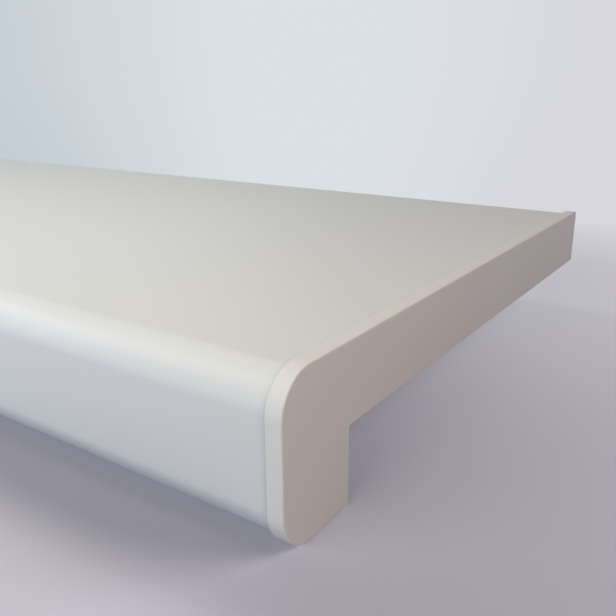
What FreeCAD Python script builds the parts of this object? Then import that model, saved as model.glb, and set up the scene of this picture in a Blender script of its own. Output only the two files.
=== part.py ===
"""Interior window sill board: a hollow-chamber plastic extrusion with a moulded cap on each end.

The board is a flat plate with a deep rounded nose along its front edge. The plate beds on the wall
under the window, its rear edge meets the window frame, and the nose laps down in front of the wall.
A cap closes the chambers at each end. Its lip wraps over the faces that show: the top, the front
and the underside of the nose. It is flush where the board meets the wall and the frame.

Frame: +X along the length, +Y from the nose to the rear edge, +Z up, in millimetres. The origin is
at the middle of the capped board's footprint, at the level of the lowest point of the caps.
"""

import FreeCAD, Part
import math
import os

# Board
board_length = 1000.0
board_depth = 210.0
plate_thickness = 20.0
nose_height = 40.0
nose_thickness = 25.0
nose_top_radius = 9.0
nose_bottom_radius = 9.0
corner_radius = 0.6

# Walls of the extrusion, thicker where they show and take wear than where they are bedded
show_wall = 2.6
bed_wall = 2.0
rib_thickness = 1.5
rib_pitch = 18.5
chamber_radius = 0.8

# End cap
cap_face_thickness = 1.5
cap_overlap = 3.0
cap_lip_thickness = 0.9
cap_clearance = 0.1
cap_edge_radius = 0.4

# Levels and faces that follow from the sizes above
lip_stand = cap_clearance + cap_lip_thickness
rear = (board_depth + lip_stand) / 2
front = rear - board_depth
nose_back = front + nose_thickness
low = lip_stand
top = low + nose_height
underside = top - plate_thickness
board_end = board_length / 2


def rounded_wire(corners):
    """Closed wire in the YZ plane through (y, z, radius) corners, each rounded by a tangent arc."""
    points = [FreeCAD.Vector(0, y, z) for y, z, radius in corners]
    turns = []
    for i, (y, z, radius) in enumerate(corners):
        corner = points[i]
        to_last = (points[i - 1] - corner).normalize()
        to_next = (points[(i + 1) % len(points)] - corner).normalize()
        half_angle = to_last.getAngle(to_next) / 2
        setback = radius / math.tan(half_angle)
        inward = (to_last + to_next).normalize()
        middle = corner + inward * (radius / math.sin(half_angle) - radius)
        turns.append((corner + to_last * setback, middle, corner + to_next * setback))
    edges = []
    for i, (arc_start, middle, arc_end) in enumerate(turns):
        if corners[i][2] > 0:
            edges.append(Part.Arc(arc_start, middle, arc_end).toShape())
        next_start = turns[(i + 1) % len(turns)][0]
        edges.append(Part.LineSegment(arc_end, next_start).toShape())
    return Part.Wire(edges)


def extrude(outlines, start, length):
    """Solid of an outline, less any outlines inside it, from x = start over length along +X."""
    wires = [rounded_wire(outline) for outline in outlines]
    section = Part.makeFace(wires, "Part::FaceMakerBullseye")
    section.translate(FreeCAD.Vector(start, 0, 0))
    return section.extrude(FreeCAD.Vector(length, 0, 0)).Solids[0]


def sill_outline(show_offset, bed_offset, small_radius):
    """The board's outline, grown by one offset on the faces that show and another on the rest."""
    return [
        (rear + bed_offset, top + show_offset, small_radius),
        (front - show_offset, top + show_offset, nose_top_radius + show_offset),
        (front - show_offset, low - show_offset, nose_bottom_radius + show_offset),
        (nose_back + bed_offset, low - show_offset, small_radius),
        (nose_back + bed_offset, underside - bed_offset, small_radius),
        (rear + bed_offset, underside - bed_offset, small_radius),
    ]


def chamber(y_from, y_to, z_from, z_to, top_front_radius, bottom_front_radius):
    """Outline of a chamber, with its front corners rounded to suit the outside of the board."""
    return [
        (y_to, z_to, chamber_radius),
        (y_from, z_to, top_front_radius),
        (y_from, z_from, bottom_front_radius),
        (y_to, z_from, chamber_radius),
    ]


def nose_chambers():
    """Two chambers in the nose, parted by a web in line with the bottom wall of the plate."""
    y_from = front + show_wall
    y_to = nose_back - bed_wall
    top_radius = nose_top_radius - show_wall
    bottom_radius = nose_bottom_radius - show_wall
    upper = chamber(y_from, y_to, underside + bed_wall, top - show_wall, top_radius, chamber_radius)
    lower = chamber(y_from, y_to, low + show_wall, underside, chamber_radius, bottom_radius)
    return [upper, lower]


def plate_chambers():
    """A row of equal chambers from the back of the nose to the rear wall."""
    z_from = underside + bed_wall
    z_to = top - show_wall
    row = rear - bed_wall - nose_back + rib_thickness
    count = max(1, round(row / rib_pitch))
    pitch = row / count
    outlines = []
    for i in range(count):
        y_from = nose_back + i * pitch
        y_to = y_from + pitch - rib_thickness
        outlines.append(chamber(y_from, y_to, z_from, z_to, chamber_radius, chamber_radius))
    return outlines


def make_board():
    """The extruded board, with its chambers running from end to end."""
    outline = sill_outline(0, 0, corner_radius)
    return extrude([outline] + nose_chambers() + plate_chambers(), -board_end, board_length)


def make_right_cap():
    """The cap on the +X end: a rounded blank with a seat for the end of the board cut into it."""
    lip_end = board_end - cap_overlap
    outline = sill_outline(lip_stand, 0, corner_radius)
    blank = extrude([outline], lip_end, cap_overlap + cap_face_thickness)
    loops = [e for e in blank.Edges if e.BoundBox.XLength < cap_edge_radius]
    blank = blank.makeFillet(cap_edge_radius, loops)
    seat_outline = sill_outline(cap_clearance, nose_thickness, 0)
    seat = extrude([seat_outline], lip_end - cap_overlap, 2 * cap_overlap)
    return blank.cut(seat).Solids[0]


if __name__ == "__main__":
    os.makedirs("parts", exist_ok=True)
    right_cap = make_right_cap()
    left_cap = right_cap.mirror(FreeCAD.Vector(0, 0, 0), FreeCAD.Vector(1, 0, 0))
    pieces = {"sill_board": make_board(), "end_cap_right": right_cap, "end_cap_left": left_cap}
    for name, shape in pieces.items():
        print(name, shape.ShapeType, shape.isValid(), round(shape.Volume, 1), shape.BoundBox)
        shape.exportStep("parts/" + name + ".step")
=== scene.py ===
"""Window sill board with end caps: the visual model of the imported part, its stage and its camera.

The board is one plastic extrusion with a rounded drop nose. A moulded cap closes each end, and its
lip wraps over the faces that show. Lengths are in metres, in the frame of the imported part: +X along
the board, +Y from the nose to the rear edge, +Z up.
"""

import math

import bmesh
import bpy
from mathutils import Matrix, Quaternion, Vector


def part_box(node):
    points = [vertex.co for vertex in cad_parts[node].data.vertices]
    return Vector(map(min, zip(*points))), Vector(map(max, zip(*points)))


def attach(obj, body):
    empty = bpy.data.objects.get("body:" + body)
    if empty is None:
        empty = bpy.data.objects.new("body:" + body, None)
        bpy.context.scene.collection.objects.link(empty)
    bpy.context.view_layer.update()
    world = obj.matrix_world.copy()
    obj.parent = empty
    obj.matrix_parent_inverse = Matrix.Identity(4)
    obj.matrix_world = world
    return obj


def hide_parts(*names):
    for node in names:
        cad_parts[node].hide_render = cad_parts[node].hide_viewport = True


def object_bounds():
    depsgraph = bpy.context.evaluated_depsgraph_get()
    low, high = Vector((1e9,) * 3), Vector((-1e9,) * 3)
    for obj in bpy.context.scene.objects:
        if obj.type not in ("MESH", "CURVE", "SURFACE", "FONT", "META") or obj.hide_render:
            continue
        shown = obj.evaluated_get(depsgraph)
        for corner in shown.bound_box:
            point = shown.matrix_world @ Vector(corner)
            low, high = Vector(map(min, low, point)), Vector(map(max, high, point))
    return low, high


bl_info = {
    "name": "Window sill board",
    "version": (1, 0, 0),
    "blender": (4, 5, 0),
    "location": "3D View > Sidebar > Sill",
    "description": "Builds a plastic window sill board with its end caps, stage and camera",
    "category": "Add Mesh",
}

MM = 0.001

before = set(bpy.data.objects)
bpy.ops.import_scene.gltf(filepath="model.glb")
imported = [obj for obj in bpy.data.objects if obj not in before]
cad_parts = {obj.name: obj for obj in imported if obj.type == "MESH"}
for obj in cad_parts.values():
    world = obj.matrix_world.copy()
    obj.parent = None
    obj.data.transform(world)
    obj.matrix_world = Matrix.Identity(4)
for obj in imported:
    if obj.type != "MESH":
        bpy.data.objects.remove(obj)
CAD_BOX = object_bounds()
BOARD_LOW, BOARD_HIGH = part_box("sill_board")
CAP_LOW, CAP_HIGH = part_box("end_cap_right")


# Sizes, finishes and stage settings

def length_property(name, description, default):
    """A length in metres, shown in the scene's units."""
    return bpy.props.FloatProperty(
        name=name, description=description, default=default, min=0, precision=5,
        unit="LENGTH", subtype="DISTANCE",
    )


def angle_property(name, description, degrees):
    """An angle, given in degrees."""
    return bpy.props.FloatProperty(
        name=name, description=description, default=math.radians(degrees), unit="ROTATION"
    )


def colour_property(name, description, default):
    """A linear colour."""
    return bpy.props.FloatVectorProperty(
        name=name, description=description, default=default, size=3, min=0, max=1, subtype="COLOR"
    )


def factor_property(name, description, default):
    """A plain number from nought up, usually below one."""
    return bpy.props.FloatProperty(
        name=name, description=description, default=default, min=0, soft_max=1
    )


class SillSizes(bpy.types.PropertyGroup):
    """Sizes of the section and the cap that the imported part's boxes don't give."""

    plate_thickness: length_property("Plate thickness", "Thickness of the flat plate", 20 * MM)
    nose_thickness: length_property("Nose thickness", "From the nose's front to its back", 25 * MM)
    top_radius: length_property("Top radius", "Rounding between the top and the front", 9 * MM)
    bottom_radius: length_property("Bottom radius", "Rounding at the foot of the front", 9 * MM)
    corner_radius: length_property("Corner radius", "Rounding of the square corners", 0.6 * MM)
    show_wall: length_property("Outer wall", "Wall behind the faces that show", 2.6 * MM)
    bed_wall: length_property("Bed wall", "Wall behind the faces that are bedded", 2.0 * MM)
    rib_thickness: length_property("Rib thickness", "Rib between two chambers", 1.5 * MM)
    rib_pitch: length_property("Rib pitch", "Usual distance from rib to rib", 18.5 * MM)
    chamber_radius: length_property("Chamber radius", "Rounding inside the chambers", 0.8 * MM)
    cap_clearance: length_property("Cap clearance", "Gap between board and cap lip", 0.1 * MM)
    cap_edge_radius: length_property("Cap edge radius", "Rounding of the cap's edges", 0.4 * MM)


class PlasticFinish(bpy.types.PropertyGroup):
    """The white plastic of the board and the caps."""

    board_colour: colour_property("Board colour", "The extruded plastic", (0.745, 0.74, 0.73))
    cap_colour: colour_property("Cap colour", "The moulded plastic", (0.778, 0.747, 0.719))
    board_roughness: factor_property("Board roughness", "Roughness of the satin skin", 0.47)
    cap_roughness: factor_property("Cap roughness", "Roughness of the moulded face", 0.5)
    grain_size: length_property("Grain size", "Size of the finest grain of the skin", 0.35 * MM)


class StageSettings(bpy.types.PropertyGroup):
    """The floor, the background, the even light and the camera."""

    floor_colour: colour_property("Floor colour", "Paint of the floor", (0.577, 0.609, 0.70))
    background_colour: colour_property("Background", "Behind the board", (0.71, 0.745, 0.78))
    left_colour: colour_property("Background left", "Towards the left", (0.54, 0.60, 0.65))
    right_colour: colour_property("Background right", "Towards the right", (0.68, 0.675, 0.72))
    fill_colour: colour_property("Fill colour", "Even light from all round", (1.0, 0.86, 0.76))
    fill_strength: factor_property("Fill strength", "Even light from all round", 0.094)
    camera_place: bpy.props.FloatVectorProperty(
        name="Camera place", description="Where the camera stands",
        default=(0.5768, -0.2056, 0.0975), unit="LENGTH",
    )
    camera_azimuth: angle_property("Azimuth", "Turn of the camera round the board", 34.53)
    camera_elevation: angle_property("Elevation", "Height of the camera as an angle", 18.11)
    camera_roll: angle_property("Roll", "Lean of the camera", -0.37)
    lens: bpy.props.FloatProperty(
        name="Lens", description="Focal length in millimetres", default=41.445
    )


# Outlines of the section

def rounded_outline(corners, steps):
    """Points (y, z) of a closed outline through (y, z, radius) corners.

    Each arc is divided into so many steps.
    """
    points = [Vector((y, z)) for y, z, radius in corners]
    outline = []
    for i, (y, z, radius) in enumerate(corners):
        corner = points[i]
        if radius == 0:
            outline.append(corner)
            continue
        to_last = (points[i - 1] - corner).normalized()
        to_next = (points[(i + 1) % len(points)] - corner).normalized()
        angle = to_last.angle(to_next)
        centre = corner + (to_last + to_next).normalized() * (radius / math.sin(angle / 2))
        setback = radius / math.tan(angle / 2)
        spoke_in = corner + to_last * setback - centre
        spoke_out = corner + to_next * setback - centre
        sweep = math.pi - angle
        for k in range(steps + 1):
            before = math.sin(sweep * (1 - k / steps)) / math.sin(sweep)
            after = math.sin(sweep * k / steps) / math.sin(sweep)
            outline.append(centre + spoke_in * before + spoke_out * after)
    return outline


def sill_corners(sizes, show, bed, corner, hollow):
    """Corners of the board's section, grown by show on the faces that show and by bed on the rest.

    corner is the radius of the square outer corners, and hollow that of the corner behind the nose.
    """
    front = BOARD_LOW.y
    rear = BOARD_HIGH.y
    low = BOARD_LOW.z
    top = BOARD_HIGH.z
    nose_back = front + sizes.nose_thickness
    underside = top - sizes.plate_thickness
    return [
        (rear + bed, top + show, corner),
        (front - show, top + show, sizes.top_radius + show),
        (front - show, low - show, sizes.bottom_radius + show),
        (nose_back + bed, low - show, corner),
        (nose_back + bed, underside - bed, hollow),
        (rear + bed, underside - bed, corner),
    ]


def chamber(sizes, y_from, y_to, z_from, z_to, top_front_radius=None, bottom_front_radius=None):
    """Corners of one hollow chamber."""
    small = sizes.chamber_radius
    return [
        (y_to, z_to, small),
        (y_from, z_to, top_front_radius or small),
        (y_from, z_from, bottom_front_radius or small),
        (y_to, z_from, small),
    ]


def chambers(sizes):
    """Corners of every chamber: two in the nose and a row in the plate."""
    top = BOARD_HIGH.z - sizes.show_wall
    underside = BOARD_HIGH.z - sizes.plate_thickness
    floor = underside + sizes.bed_wall
    low = BOARD_LOW.z + sizes.show_wall
    front = BOARD_LOW.y + sizes.show_wall
    nose_back = BOARD_LOW.y + sizes.nose_thickness
    back = nose_back - sizes.bed_wall
    top_front = sizes.top_radius - sizes.show_wall
    bottom_front = sizes.bottom_radius - sizes.show_wall
    found = [
        chamber(sizes, front, back, floor, top, top_front_radius=top_front),
        chamber(sizes, front, back, low, underside, bottom_front_radius=bottom_front),
    ]
    row = BOARD_HIGH.y - sizes.bed_wall - nose_back + sizes.rib_thickness
    count = max(1, round(row / sizes.rib_pitch))
    pitch = row / count
    for i in range(count):
        y_from = nose_back + i * pitch
        found.append(chamber(sizes, y_from, y_from + pitch - sizes.rib_thickness, floor, top))
    return found


# Meshes

SKIN_ARC_STEPS = 20
CHAMBER_ARC_STEPS = 4
EDGE_ARC_STEPS = 5
BOARD_SPANS = 25
SAME_PLACE = 1e-7
SHARP_ANGLE = math.radians(35)
FLAT_FACE_WEIGHT = 100


def add_loop(mesh, outline, x):
    """Adds an outline to a bmesh as a closed loop of edges at x, and returns its vertices."""
    vertices = [mesh.verts.new((x, point.x, point.y)) for point in outline]
    for i, vertex in enumerate(vertices):
        mesh.edges.new((vertices[i - 1], vertex))
    return vertices


def join_loops(mesh, first, second):
    """Adds a band of faces between two loops that have the same number of vertices."""
    for i in range(len(first)):
        mesh.faces.new((first[i - 1], first[i], second[i], second[i - 1]))


def extruded(outlines, stations):
    """A bmesh of an outline with holes in it, run along the stations on X."""
    mesh = bmesh.new()
    for outline in outlines:
        loops = [add_loop(mesh, outline, x) for x in stations]
        for first, second in zip(loops, loops[1:]):
            join_loops(mesh, first, second)
    for x in (stations[0], stations[-1]):
        rim = [e for e in mesh.edges if all(abs(v.co.x - x) < SAME_PLACE for v in e.verts)]
        bmesh.ops.triangle_fill(mesh, use_beauty=True, edges=rim)
    bmesh.ops.recalc_face_normals(mesh, faces=mesh.faces)
    return mesh


def rounded_prism(outline_at, x_from, x_to, radius, steps):
    """A bmesh of a closed outline run along X with both rims rounded.

    outline_at gives the outline for an inset, always with the same number of points.
    """
    mesh = bmesh.new()
    arc = [math.pi / 2 * k / steps for k in range(steps + 1)]
    rim = [(radius * (1 - math.sin(a)), radius * (1 - math.cos(a))) for a in arc]
    rings = [(inset, x_from + depth) for inset, depth in rim]
    rings += [(inset, x_to - depth) for inset, depth in reversed(rim)]
    loops = [add_loop(mesh, outline_at(inset), x) for inset, x in rings]
    for first, second in zip(loops, loops[1:]):
        join_loops(mesh, first, second)
    mesh.faces.new(loops[0])
    mesh.faces.new(loops[-1])
    bmesh.ops.recalc_face_normals(mesh, faces=mesh.faces)
    return mesh


def new_object(name, mesh):
    """An object that holds a bmesh, which is freed."""
    data = bpy.data.meshes.new(name)
    mesh.to_mesh(data)
    mesh.free()
    made = bpy.data.objects.new(name, data)
    bpy.context.scene.collection.objects.link(made)
    return made


def shade(made):
    """Smooth shading with flat faces kept flat and sharp edges kept sharp."""
    for face in made.data.polygons:
        face.use_smooth = True
    made.data.set_sharp_from_angle(angle=SHARP_ANGLE)
    weighted = made.modifiers.new("flat_faces_stay_flat", "WEIGHTED_NORMAL")
    weighted.mode = "FACE_AREA"
    weighted.weight = FLAT_FACE_WEIGHT
    weighted.keep_sharp = True


def cut(made, tool):
    """Takes one object's shape out of another's, and removes the tool."""
    boolean = made.modifiers.new("cut", "BOOLEAN")
    boolean.operation = "DIFFERENCE"
    boolean.solver = "EXACT"
    boolean.object = tool
    graph = bpy.context.evaluated_depsgraph_get()
    data = bpy.data.meshes.new_from_object(made.evaluated_get(graph))
    data.name = made.data.name
    made.modifiers.clear()
    made.data = data
    bpy.data.objects.remove(tool)


# Shader nodes

MIX_FIRST_COLOUR = 6
MIX_SECOND_COLOUR = 7
MIX_COLOUR_RESULT = 2


class Value:
    """A number that varies over a surface: an output socket, with arithmetic on it."""

    def __init__(self, shader, socket):
        self.shader = shader
        self.socket = socket

    def _math(self, operation, *terms):
        node = self.shader.node("ShaderNodeMath", {"operation": operation}, dict(enumerate(terms)))
        return Value(self.shader, node.outputs[0])

    def __add__(self, other):
        return self._math("ADD", self, other)

    __radd__ = __add__

    def __sub__(self, other):
        return self._math("SUBTRACT", self, other)

    def __rsub__(self, other):
        return self._math("SUBTRACT", other, self)

    def __mul__(self, other):
        return self._math("MULTIPLY", self, other)

    __rmul__ = __mul__

    def __abs__(self):
        return self._math("ABSOLUTE", self)

    def clamped(self):
        """The number held between nought and one."""
        return self._math("MAXIMUM", self._math("MINIMUM", self, 1.0), 0.0)


class Shader:
    """The node tree of a material or a world, built from nothing."""

    def __init__(self, owner):
        owner.use_nodes = True
        self.tree = owner.node_tree
        self.tree.nodes.clear()

    def node(self, kind, settings=None, inputs=None):
        """Adds a node: its settings first, then the values or links of its sockets."""
        made = self.tree.nodes.new(kind)
        for name, setting in (settings or {}).items():
            setattr(made, name, setting)
        for name, given in (inputs or {}).items():
            if isinstance(given, Value):
                given = given.socket
            if isinstance(given, bpy.types.NodeSocket):
                self.tree.links.new(given, made.inputs[name])
            else:
                made.inputs[name].default_value = given
        return made

    def value(self, kind, settings=None, inputs=None, output=0):
        """Adds a node and returns one of its outputs as a number."""
        return Value(self, self.node(kind, settings, inputs).outputs[output])

    def vector_math(self, operation, *terms):
        """Does one step of vector arithmetic and returns the vector."""
        node = self.node("ShaderNodeVectorMath", {"operation": operation}, dict(enumerate(terms)))
        return node.outputs[0]

    def mix_colour(self, factor, first, second):
        """A colour between two colours."""
        mix = self.node("ShaderNodeMix", {"data_type": "RGBA"}, {
            "Factor": factor,
            MIX_FIRST_COLOUR: as_colour(first),
            MIX_SECOND_COLOUR: as_colour(second),
        })
        return mix.outputs[MIX_COLOUR_RESULT]

    def mix_shader(self, factor, first, second):
        """A surface between the surfaces of two nodes."""
        terms = {0: factor, 1: first.outputs[0], 2: second.outputs[0]}
        return self.node("ShaderNodeMixShader", None, terms).outputs[0]

    def finish(self, surface, kind="ShaderNodeOutputMaterial"):
        """Joins a surface shader to the output."""
        self.node(kind, None, {"Surface": surface})


def as_colour(given):
    """A socket as it is, or a colour with its alpha."""
    return given if isinstance(given, bpy.types.NodeSocket) else (*given[:3], 1.0)


def eased(shader, value, start, end):
    """A smooth step from nought at start to one at end."""
    return shader.value(
        "ShaderNodeMapRange",
        {"interpolation_type": "SMOOTHSTEP"},
        {"Value": value, "From Min": start, "From Max": end},
    )


def shaded(colour, amount):
    """A colour made darker by a share."""
    return tuple(channel * (1 - amount) for channel in colour)


def noise(shader, place, scale, detail=2.0, roughness=0.5):
    """A cloud of values round a half."""
    return shader.value(
        "ShaderNodeTexNoise", {"noise_dimensions": "3D"},
        {"Vector": place, "Scale": scale, "Detail": detail, "Roughness": roughness},
    )


# The plastic

# Painted shade on the board beside each cap's lip: a painted shadow line and a soft painted
# darkening.
PAINTED_SHADOW_LINE_REACH = 1.3 * MM
PAINTED_SHADOW_LINE_WIDTH = 0.9 * MM
PAINTED_SOFT_SHADE_REACH = 3.5 * MM
PAINTED_SHADOW_LINE_SHARE = 0.45
PAINTED_SOFT_SHADE_SHARE = 0.55
PAINTED_SHADE_DEPTH = 0.14

DRAWN_LENGTH = 40
CLOUD_SCALE = 9.0
SMUDGE_SCALE = 34.0
STREAK_SCALE = 260.0
CLOUD_TONE = 0.7
STREAK_TONE = 0.3
TONE_DEPTH = 0.018
ROUGHNESS_SPREAD = 0.06
GRAIN_HEIGHT = 0.7
STREAK_HEIGHT = 0.5
BUMP_STRENGTH = 0.12
BUMP_DISTANCE = 0.00002
PLASTIC_IOR = 1.53


def painted_lip_shade(shader, place):
    """How near a point of the board is to a cap's lip, as a share of painted shade.

    It is one at the lip, and nought a few millimetres off.
    """
    along = shader.value("ShaderNodeSeparateXYZ", None, {0: place}, "X")
    away = CAP_LOW.x - abs(along)
    # A painted shadow line close to the lip, and a soft painted darkening that fades a few
    # millimetres off.
    line = eased(shader, away, PAINTED_SHADOW_LINE_REACH, PAINTED_SHADOW_LINE_WIDTH)
    soft_shade = eased(shader, away, PAINTED_SOFT_SHADE_REACH, 0.0)
    return line * PAINTED_SHADOW_LINE_SHARE + soft_shade * PAINTED_SOFT_SHADE_SHARE


def satin_plastic(name, colour, roughness, grain_size, drawn=1, painted_shade=None):
    """White plastic with a satin skin. drawn is how far its fine marks run along the board.

    painted_shade gives the share of painted shade at a point, which stands in for the shadow beside a
    joint.
    """
    material = bpy.data.materials.new(name)
    shader = Shader(material)
    place = shader.node("ShaderNodeTexCoord").outputs["Object"]
    along = shader.vector_math("MULTIPLY", place, (1 / drawn, 1.0, 1.0))
    clouds = noise(shader, place, CLOUD_SCALE, detail=3.0)
    streaks = noise(shader, along, STREAK_SCALE, detail=3.0, roughness=0.6)
    grain = noise(shader, along, 1 / grain_size)
    smudges = noise(shader, place, SMUDGE_SCALE, detail=4.0, roughness=0.6)
    tone = (clouds * CLOUD_TONE + streaks * STREAK_TONE).clamped()
    base = shader.mix_colour(tone, shaded(colour, TONE_DEPTH), colour)
    # Painted shade: the colour is darkened beside a cap's lip, standing in for the lip's shadow.
    if painted_shade:
        base = shader.mix_colour(painted_shade(shader, place), base, shaded(colour, PAINTED_SHADE_DEPTH))
    rough = roughness - ROUGHNESS_SPREAD / 2 + smudges * ROUGHNESS_SPREAD
    height = grain * GRAIN_HEIGHT + streaks * STREAK_HEIGHT
    bump = shader.node(
        "ShaderNodeBump", None,
        {"Strength": BUMP_STRENGTH, "Distance": BUMP_DISTANCE, "Height": height},
    )
    surface = shader.node(
        "ShaderNodeBsdfPrincipled", None,
        {"Base Color": base, "Roughness": rough, "IOR": PLASTIC_IOR, "Normal": bump.outputs[0]},
    )
    shader.finish(surface.outputs[0])
    return material


# Operators

class SILL_OT_board(bpy.types.Operator):
    """Add the extruded board with its drop nose and its chambers"""

    bl_idname = "sill.board"
    bl_label = "Board"

    def execute(self, context):
        sizes = context.scene.sill_sizes
        finish = context.scene.sill_finish
        corner = sizes.corner_radius
        outlines = [rounded_outline(sill_corners(sizes, 0, 0, corner, corner), SKIN_ARC_STEPS)]
        outlines += [rounded_outline(corners, CHAMBER_ARC_STEPS) for corners in chambers(sizes)]
        length = BOARD_HIGH.x - BOARD_LOW.x
        stations = [BOARD_LOW.x + length * i / BOARD_SPANS for i in range(BOARD_SPANS + 1)]
        board = new_object("sill_board_skin", extruded(outlines, stations))
        shade(board)
        # The board's colour carries painted shade beside each cap's lip.
        board.data.materials.append(satin_plastic(
            "extruded_plastic", finish.board_colour, finish.board_roughness, finish.grain_size,
            drawn=DRAWN_LENGTH, painted_shade=painted_lip_shade,
        ))
        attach(board, "root")
        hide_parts("sill_board")
        return {"FINISHED"}


class SILL_OT_end_caps(bpy.types.Operator):
    """Add the moulded cap on each end of the board"""

    bl_idname = "sill.end_caps"
    bl_label = "End caps"

    def execute(self, context):
        sizes = context.scene.sill_sizes
        finish = context.scene.sill_finish
        material = satin_plastic(
            "moulded_plastic", finish.cap_colour, finish.cap_roughness, finish.grain_size
        )
        stand = CAP_HIGH.z - BOARD_HIGH.z
        corner = sizes.corner_radius
        edge = sizes.cap_edge_radius

        def blank_outline(inset):
            corners = sill_corners(sizes, stand - inset, -inset, corner - inset, corner + inset)
            return rounded_outline(corners, SKIN_ARC_STEPS)

        past = sizes.nose_thickness
        seat_corners = sill_corners(sizes, sizes.cap_clearance, past, 0, 0)
        seat_outline = rounded_outline(seat_corners, SKIN_ARC_STEPS)
        seat_stations = [2 * CAP_LOW.x - BOARD_HIGH.x, BOARD_HIGH.x]
        for side, name in ((1, "end_cap_right"), (-1, "end_cap_left")):
            blank = rounded_prism(blank_outline, CAP_LOW.x, CAP_HIGH.x, edge, EDGE_ARC_STEPS)
            cap = new_object(name + "_skin", blank)
            cut(cap, new_object("seat", extruded([seat_outline], seat_stations)))
            if side < 0:
                cap.data.transform(Matrix.Scale(-1, 4, (1, 0, 0)))
                cap.data.flip_normals()
            shade(cap)
            cap.data.materials.append(material)
            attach(cap, "root")
            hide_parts(name)
        return {"FINISHED"}


class SILL_OT_stage(bpy.types.Operator):
    """Add the floor, the background, the lamps and the camera"""

    bl_idname = "sill.stage"
    bl_label = "Stage"

    def execute(self, context):
        scene = context.scene
        scene.view_settings.view_transform = "Standard"
        settings = scene.sill_stage
        add_floor(settings)
        set_world(scene, settings)
        add_lamps(scene)
        add_camera(scene, settings)
        return {"FINISHED"}


# Lamps

WIDEST_SPREAD = 180

LAMPS = {
    "front_panel": {
        "place": (0.2, -0.21, 0.275), "aim": (0.2, 0.0, 0.0), "size": (0.45, 0.22), "watts": 0.72,
        "colour": (1.0, 1.0, 1.0), "lights": "board",
    },
    "left_panel": {
        "place": (-0.4, -0.3, 0.34), "aim": (-0.3, 0.0, 0.0), "size": (1.0, 0.3), "watts": 1.12,
        "colour": (0.82, 0.88, 1.0), "lights": "board",
    },
    "low_strip": {
        "place": (-0.2, -0.7, 0.05), "aim": (-0.2, 0.0, 0.02), "size": (1.4, 0.06), "watts": 1.9,
        "colour": (0.45, 0.8, 1.0), "lights": "board",
    },
    "rear_panel": {
        "place": (-0.4, 0.5, 0.9), "aim": (0.2, 0.0, 0.0), "size": (0.8, 0.8), "watts": 3.4,
        "colour": (0.91, 1.0, 0.93), "lights": "board",
    },
    "right_panel": {
        "place": (0.75, -0.3, 0.35), "aim": (0.5, -0.05, 0.0), "size": (0.25, 0.25), "watts": 0.96,
        "colour": (1.0, 0.9, 0.76), "lights": "board",
    },
    "floor_key": {
        "place": (-0.1, 0.1, 0.35), "aim": (0.4, -0.2, 0.0), "size": (0.15, 0.15), "watts": 0.7,
        "colour": (1.0, 0.91, 0.85), "lights": "floor", "spread": 80,
    },
    "floor_left": {
        "place": (-0.75, -0.1, 0.75), "aim": (-0.6, 0.0, 0.0), "size": (0.4, 0.4), "watts": 1.1,
        "colour": (1.0, 0.93, 0.93), "lights": "floor", "spread": 80,
    },
    "floor_front": {
        "place": (0.1, -0.9, 0.35), "aim": (0.1, 0.0, 0.0), "size": (1.4, 0.3), "watts": 7.3,
        "colour": (1.0, 0.87, 0.88), "lights": "floor",
    },
    "floor_side": {
        "place": (1.2, 0.4, 0.5), "aim": (0.5, 0.0, 0.0), "size": (0.6, 0.6), "watts": 5.9,
        "colour": (1.0, 0.86, 0.89), "lights": "floor",
    },
}


def receivers(name, pieces):
    """A collection of the pieces that a lamp lights."""
    collection = bpy.data.collections.new(name)
    for piece in pieces:
        collection.objects.link(piece)
    return collection


def add_lamps(scene):
    """Soft lamps round the board. Some light the board alone, and some the floor alone."""
    floor = scene.objects["floor"]
    board = [made for made in scene.objects if made.type == "MESH" and made != floor]
    lit = {"board": receivers("lit_board", board), "floor": receivers("lit_floor", [floor])}
    for name, lamp in LAMPS.items():
        data = bpy.data.lights.new(name + "_lamp", "AREA")
        data.shape = "RECTANGLE"
        data.size, data.size_y = lamp["size"]
        data.energy = lamp["watts"]
        data.color = lamp["colour"]
        data.spread = math.radians(lamp.get("spread", WIDEST_SPREAD))
        made = bpy.data.objects.new(data.name, data)
        towards = Vector(lamp["aim"]) - Vector(lamp["place"])
        made.location = lamp["place"]
        made.rotation_euler = towards.to_track_quat("-Z", "Y").to_euler()
        made.light_linking.receiver_collection = lit[lamp["lights"]]
        scene.collection.objects.link(made)


# Floor, background and camera

FLOOR_RADIUS = 60.0
FLOOR_SEGMENTS = 96
FLOOR_CLOUD_SCALE = 3.0
FLOOR_TONE_DEPTH = 0.02
HAZE_CENTRE = (0.5, -0.1, 0.0)
HAZE_REACH = 0.4
# Where and how strongly the floor glows behind the board's front: painted light that lifts the shadow
# there.
PAINTED_LIFT_BEHIND = (-0.12, 0.15)
PAINTED_LIFT_SHARE = 0.5
LEFT_FADE = (0.62, 0.92)
RIGHT_FADE = (-0.5, -0.15)
NEAREST_SEEN = 10 * MM


def seen_directly(shader):
    """One for rays that show the background itself, and nought for rays that light a surface."""
    path = shader.node("ShaderNodeLightPath").outputs
    rays = Value(shader, path["Is Camera Ray"]) + Value(shader, path["Is Glossy Ray"])
    return (rays + Value(shader, path["Is Transmission Ray"])).clamped()


def backdrop_colour(shader, direction, settings):
    """The colour of the background in a direction from the board."""
    across = shader.value("ShaderNodeSeparateXYZ", None, {0: direction}, "X")
    left = eased(shader, 0 - across, *LEFT_FADE)
    right = eased(shader, across, *RIGHT_FADE)
    colour = shader.mix_colour(left, settings.background_colour, settings.left_colour)
    return shader.mix_colour(right, colour, settings.right_colour)


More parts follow.
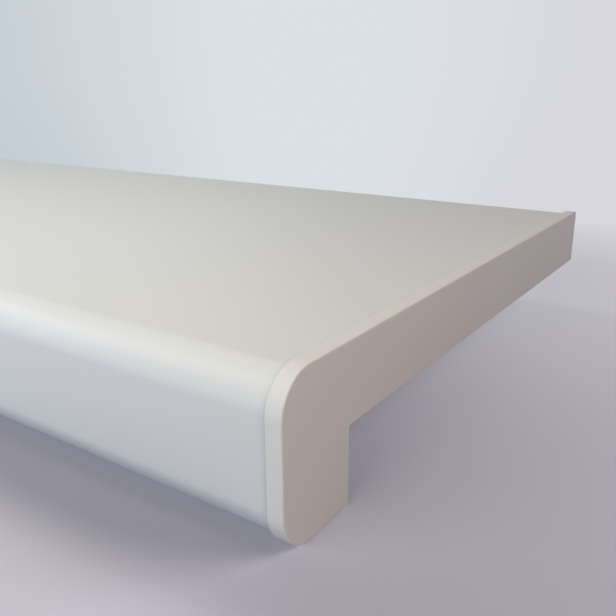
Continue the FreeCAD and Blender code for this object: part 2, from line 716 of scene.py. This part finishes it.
def add_floor(settings):
    """A round floor at the board's lowest level that fades into the background."""
    mesh = bmesh.new()
    bmesh.ops.create_circle(mesh, cap_ends=True, segments=FLOOR_SEGMENTS, radius=FLOOR_RADIUS)
    floor = new_object("floor", mesh)
    floor.location.z = CAD_BOX[0].z
    material = bpy.data.materials.new("floor_paint")
    shader = Shader(material)
    place = shader.node("ShaderNodeTexCoord").outputs["Object"]
    tone = noise(shader, place, FLOOR_CLOUD_SCALE)
    darker = shaded(settings.floor_colour, FLOOR_TONE_DEPTH)
    colour = shader.mix_colour(tone, darker, settings.floor_colour)
    paint = shader.node("ShaderNodeBsdfDiffuse", None, {"Color": colour})
    apart = shader.vector_math("SUBTRACT", shader.vector_math("ABSOLUTE", place), CAD_BOX[1])
    apart = shader.vector_math("MAXIMUM", apart, (0, 0, 0))
    distance = shader.value("ShaderNodeVectorMath", {"operation": "LENGTH"}, {0: apart}, "Value")
    far = eased(shader, distance, 0.0, HAZE_REACH)
    back = shader.value("ShaderNodeSeparateXYZ", None, {0: place}, "Y")
    # Behind the board's front, the floor shows the camera half of the background's colour as a glow:
    # a painted lift of the shadow under the board.
    behind = eased(shader, back, *PAINTED_LIFT_BEHIND)
    share = (behind * PAINTED_LIFT_SHARE + far).clamped() * seen_directly(shader)
    outward = shader.vector_math("NORMALIZE", shader.vector_math("SUBTRACT", place, HAZE_CENTRE))
    backdrop = backdrop_colour(shader, outward, settings)
    background_glow = shader.node("ShaderNodeEmission", None, {"Color": backdrop})
    shader.finish(shader.mix_shader(share, paint, background_glow))
    floor.data.materials.append(material)


def set_world(scene, settings):
    """A soft even light from all round, and the pale background that the camera sees."""
    world = bpy.data.worlds.new("studio")
    scene.world = world
    shader = Shader(world)
    direction = shader.node("ShaderNodeTexCoord").outputs["Generated"]
    light = shader.node(
        "ShaderNodeBackground", None,
        {"Color": as_colour(settings.fill_colour), "Strength": settings.fill_strength},
    )
    backdrop = backdrop_colour(shader, direction, settings)
    seen = shader.node("ShaderNodeBackground", None, {"Color": backdrop})
    mixed = shader.mix_shader(seen_directly(shader), light, seen)
    shader.finish(mixed, "ShaderNodeOutputWorld")


def add_camera(scene, settings):
    """The camera at the photograph's place and angle."""
    azimuth = settings.camera_azimuth
    elevation = settings.camera_elevation
    level = math.cos(elevation)
    back = Vector((math.sin(azimuth) * level, -math.cos(azimuth) * level, math.sin(elevation)))
    data = bpy.data.cameras.new("camera")
    data.lens = settings.lens
    data.clip_start = NEAREST_SEEN
    camera = bpy.data.objects.new("camera", data)
    camera.location = settings.camera_place
    camera.rotation_mode = "QUATERNION"
    upright = (-back).to_track_quat("-Z", "Y")
    camera.rotation_quaternion = upright @ Quaternion((0, 0, 1), settings.camera_roll)
    scene.collection.objects.link(camera)
    scene.camera = camera


# Panel and registration

class SILL_PT_panel(bpy.types.Panel):
    """Sizes, finishes and steps of the sill board"""

    bl_idname = "SILL_PT_panel"
    bl_label = "Window sill board"
    bl_space_type = "VIEW_3D"
    bl_region_type = "UI"
    bl_category = "Sill"

    def draw(self, context):
        layout = self.layout
        scene = context.scene
        for group in (scene.sill_sizes, scene.sill_finish, scene.sill_stage):
            box = layout.box()
            for name in group.bl_rna.properties.keys():
                if name not in ("rna_type", "name"):
                    box.prop(group, name)
        for step in STEPS:
            layout.operator(step.bl_idname)


STEPS = (SILL_OT_board, SILL_OT_end_caps, SILL_OT_stage)
CLASSES = (SillSizes, PlasticFinish, StageSettings, *STEPS, SILL_PT_panel)


def register():
    for made in CLASSES:
        bpy.utils.register_class(made)
    bpy.types.Scene.sill_sizes = bpy.props.PointerProperty(type=SillSizes)
    bpy.types.Scene.sill_finish = bpy.props.PointerProperty(type=PlasticFinish)
    bpy.types.Scene.sill_stage = bpy.props.PointerProperty(type=StageSettings)


def unregister():
    del bpy.types.Scene.sill_stage
    del bpy.types.Scene.sill_finish
    del bpy.types.Scene.sill_sizes
    for made in reversed(CLASSES):
        bpy.utils.unregister_class(made)


def main():
    """Builds every piece and the stage."""
    register()
    bpy.ops.sill.board()
    bpy.ops.sill.end_caps()
    bpy.ops.sill.stage()


if __name__ == "__main__":
    main()
